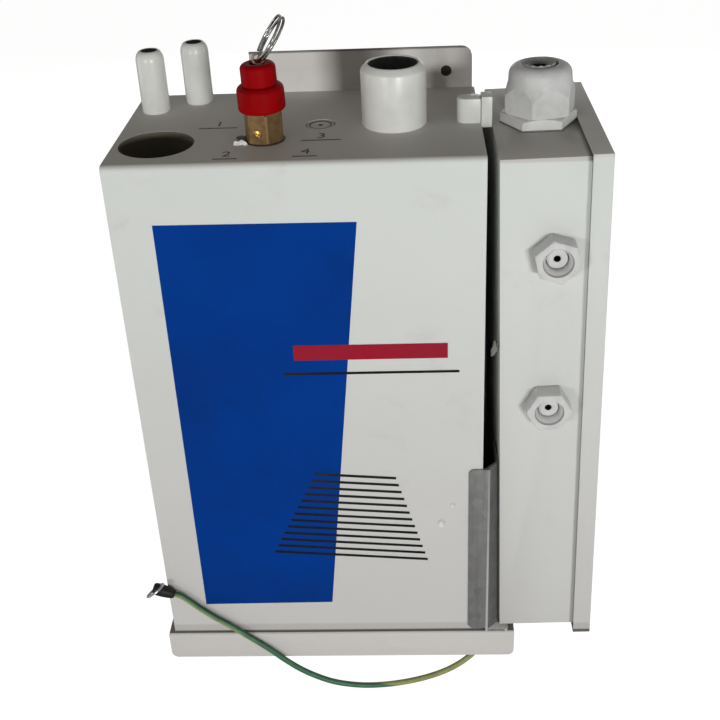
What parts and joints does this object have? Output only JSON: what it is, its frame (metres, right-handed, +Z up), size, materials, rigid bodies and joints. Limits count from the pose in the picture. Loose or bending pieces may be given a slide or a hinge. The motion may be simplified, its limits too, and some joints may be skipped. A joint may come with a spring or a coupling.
{
  "type": "wall-hung electric steam generator",
  "caption": "Small wall-hung electric steam generator: sheet-metal boiler housing and narrow control box on a folded wall bracket, with inlets, safety valve, steam outlet and earth lead.",
  "frame": {"origin": "wall face of the bracket's back plate, midway between its two fixing holes", "axes": "+X to the right, +Y into the wall, +Z up; the front faces -Y"},
  "size_m": [0.2597, 0.1241, 0.4105],
  "materials": {
    "bracket_paint": "satin powder coat on folded steel plate",
    "housing_paint": "satin powder coat on folded steel sheet",
    "tank_steel": "dark heat-stained steel",
    "white_plastic": "glossy white",
    "brass": "dull machined brass",
    "red_plastic": "smooth moulded red",
    "ring_steel": "bright plated spring steel",
    "nylon": "translucent pale grey nylon",
    "seal_rubber": "black rubber",
    "galvanised": "dull galvanised steel",
    "lead_sheath": "green and yellow striped sheath",
    "black_plastic": "black crimp sleeve",
    "tinned_copper": "tinned copper"
  },
  "bodies": {
    "generator": {"wall_bracket": "bracket_paint", "housing_front": "housing_paint", "housing_top": "housing_paint", "housing_left": "housing_paint", "housing_right": "housing_paint", "housing_back": "housing_paint", "housing_floor": "housing_paint", "boiler_tank": "tank_steel", "blanking_disc": "housing_paint", "inlet_front": "white_plastic", "inlet_rear": "white_plastic", "steam_outlet": "white_plastic", "valve_body": "brass", "valve_set_screw": "brass", "valve_adjuster": "red_plastic", "valve_cap": "red_plastic", "control_box": "housing_paint", "control_cover": "housing_paint", "gland_body": "nylon", "gland_locknut": "nylon", "gland_nut": "nylon", "gland_seal": "seal_rubber", "upper_panel_nut": "nylon", "upper_panel_bush": "nylon", "lower_panel_nut": "nylon", "lower_panel_bush": "nylon", "bridge_cap": "white_plastic", "bridge_spacer": "white_plastic", "side_bracket": "galvanised", "lead_grommet": "seal_rubber", "earth_lead": "lead_sheath", "lead_sleeve": "black_plastic", "lead_tongue": "tinned_copper"},
    "stem": {"valve_stem": "brass"},
    "ring": {"valve_ring": "ring_steel"}
  },
  "joints": [
    {"name": "stem_lift", "type": "slide", "parent": "generator", "child": "stem", "axis": [0, 0, 1], "range_m": [0, 0.0025], "stiffness_N_per_m": 400},
    {"name": "ring_swing", "type": "hinge", "parent": "stem", "child": "ring", "pos_m": [-0.0432, -0.0771, 0.0314], "axis": [-0.1392, 0.9903, 0], "range_deg": [-117, 53]}
  ]
}
